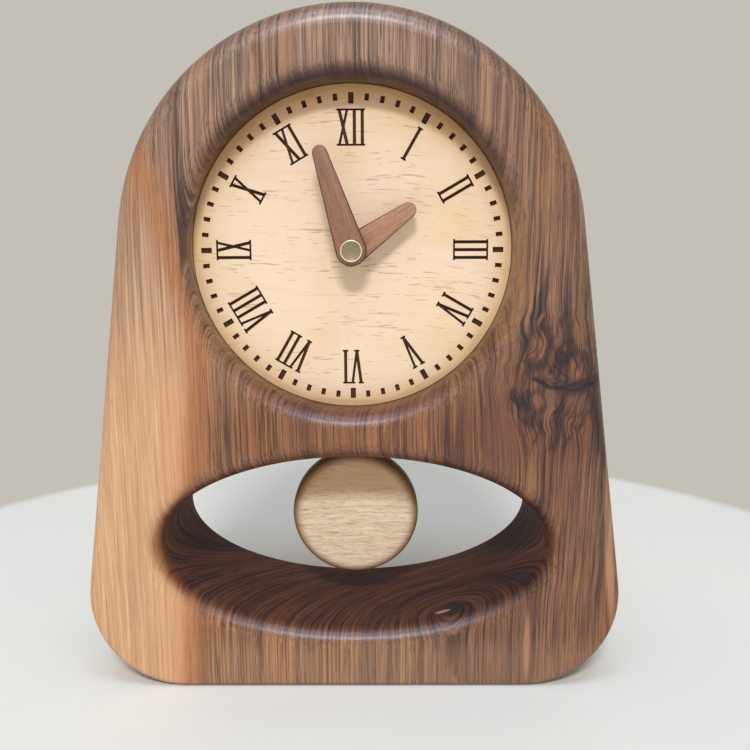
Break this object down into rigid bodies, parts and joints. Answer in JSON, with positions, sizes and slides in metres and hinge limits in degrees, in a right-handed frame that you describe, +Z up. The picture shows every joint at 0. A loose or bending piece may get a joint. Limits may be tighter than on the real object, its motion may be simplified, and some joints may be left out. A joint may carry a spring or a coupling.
{
  "type": "desk pendulum clock",
  "caption": "Free-standing arched wooden desk clock with a recessed wooden dial and hands, and a round wooden pendulum bob swinging in an oval see-through window.",
  "frame": {"origin": "centre of the flat foot, midway between the front and rear faces", "axes": "+Z up, +X to the right as seen from the front, the dial faces -Y"},
  "size_m": [0.2064, 0.064, 0.2568],
  "materials": {
    "walnut": "satin oil",
    "dial_maple": "satin",
    "hand_walnut": "satin oil",
    "brass": "machined",
    "nut_brass": "polished",
    "rubber": "matte",
    "shell_plastic": "fine moulded grain",
    "steel": "turned",
    "gear_plastic": "natural acetal",
    "magnet": "sintered",
    "soft_iron": "stamped sheet",
    "copper_winding": "enamelled wire",
    "board_laminate": "solder mask",
    "battery_sleeve": "plain printed sleeve",
    "plated_strip": "nickel plate",
    "knob_plastic": "moulded",
    "hanger_plastic": "moulded",
    "rod_steel": "drawn wire",
    "bob_wood": "satin oil"
  },
  "bodies": {
    "clock": {"case_body": "walnut", "dial": "dial_maple", "mounting_nut": "brass", "rubber_washer": "rubber", "centre_bush": "brass", "movement_front_shell": "shell_plastic", "movement_rear_shell": "shell_plastic", "stator": "soft_iron", "coil_core": "soft_iron", "motor_coil": "copper_winding", "circuit_board": "board_laminate", "battery_contact_positive": "plated_strip", "battery_contact_negative": "plated_strip", "drive_coil": "copper_winding", "pivot_pin": "steel"},
    "minute_train": {"minute_arbor": "steel", "centre_wheel": "gear_plastic", "minute_hand": "hand_walnut", "minute_hand_bush": "brass", "hand_nut": "nut_brass"},
    "hour_train": {"hour_wheel": "gear_plastic", "hour_hand": "hand_walnut", "hour_hand_bush": "brass"},
    "motion_work": {"motion_work_wheel": "gear_plastic"},
    "third_arbor": {"third_wheel": "gear_plastic"},
    "rotor": {"rotor_pinion": "gear_plastic", "rotor_magnet": "magnet"},
    "setting": {"set_knob": "knob_plastic"},
    "cell": {"battery": "battery_sleeve"},
    "pendulum": {"pendulum_hanger": "hanger_plastic", "hanger_magnet": "magnet", "pendulum_rod": "rod_steel", "pendulum_bob": "bob_wood"}
  },
  "joints": [
    {"name": "minute_turn", "type": "hinge", "parent": "clock", "child": "minute_train", "pos_m": [0, 0, 0.1708], "axis": [0, 1, 0], "continuous": true},
    {"name": "hour_turn", "type": "hinge", "parent": "clock", "child": "hour_train", "pos_m": [0, 0, 0.1708], "axis": [0, 1, 0], "continuous": true},
    {"name": "motion_work_turn", "type": "hinge", "parent": "clock", "child": "motion_work", "pos_m": [-0.00767, 0, 0.17658], "axis": [0, 1, 0], "continuous": true},
    {"name": "third_wheel_turn", "type": "hinge", "parent": "clock", "child": "third_arbor", "pos_m": [0.01241, 0, 0.17299], "axis": [0, 1, 0], "continuous": true},
    {"name": "rotor_turn", "type": "hinge", "parent": "clock", "child": "rotor", "pos_m": [0.01549, 0, 0.18448], "axis": [0, 1, 0], "continuous": true},
    {"name": "set_knob_turn", "type": "hinge", "parent": "clock", "child": "setting", "pos_m": [-0.01598, 0, 0.18138], "axis": [0, 1, 0], "continuous": true},
    {"name": "pendulum_swing", "type": "hinge", "parent": "clock", "child": "pendulum", "pos_m": [0, 0, 0.1373], "axis": [0, 1, 0], "range_deg": [-8, 8]},
    {"name": "battery_lift", "type": "slide", "parent": "clock", "child": "cell", "axis": [0, 1, 0], "range_m": [0, 0.03]}
  ],
  "couplings": [
    {"joint": "hour_turn", "follows": "minute_turn", "ratio": 0.083333},
    {"joint": "motion_work_turn", "follows": "minute_turn", "ratio": -0.33333},
    {"joint": "set_knob_turn", "follows": "minute_turn", "ratio": 1},
    {"joint": "third_wheel_turn", "follows": "minute_turn", "ratio": -8},
    {"joint": "rotor_turn", "follows": "minute_turn", "ratio": 60}
  ]
}
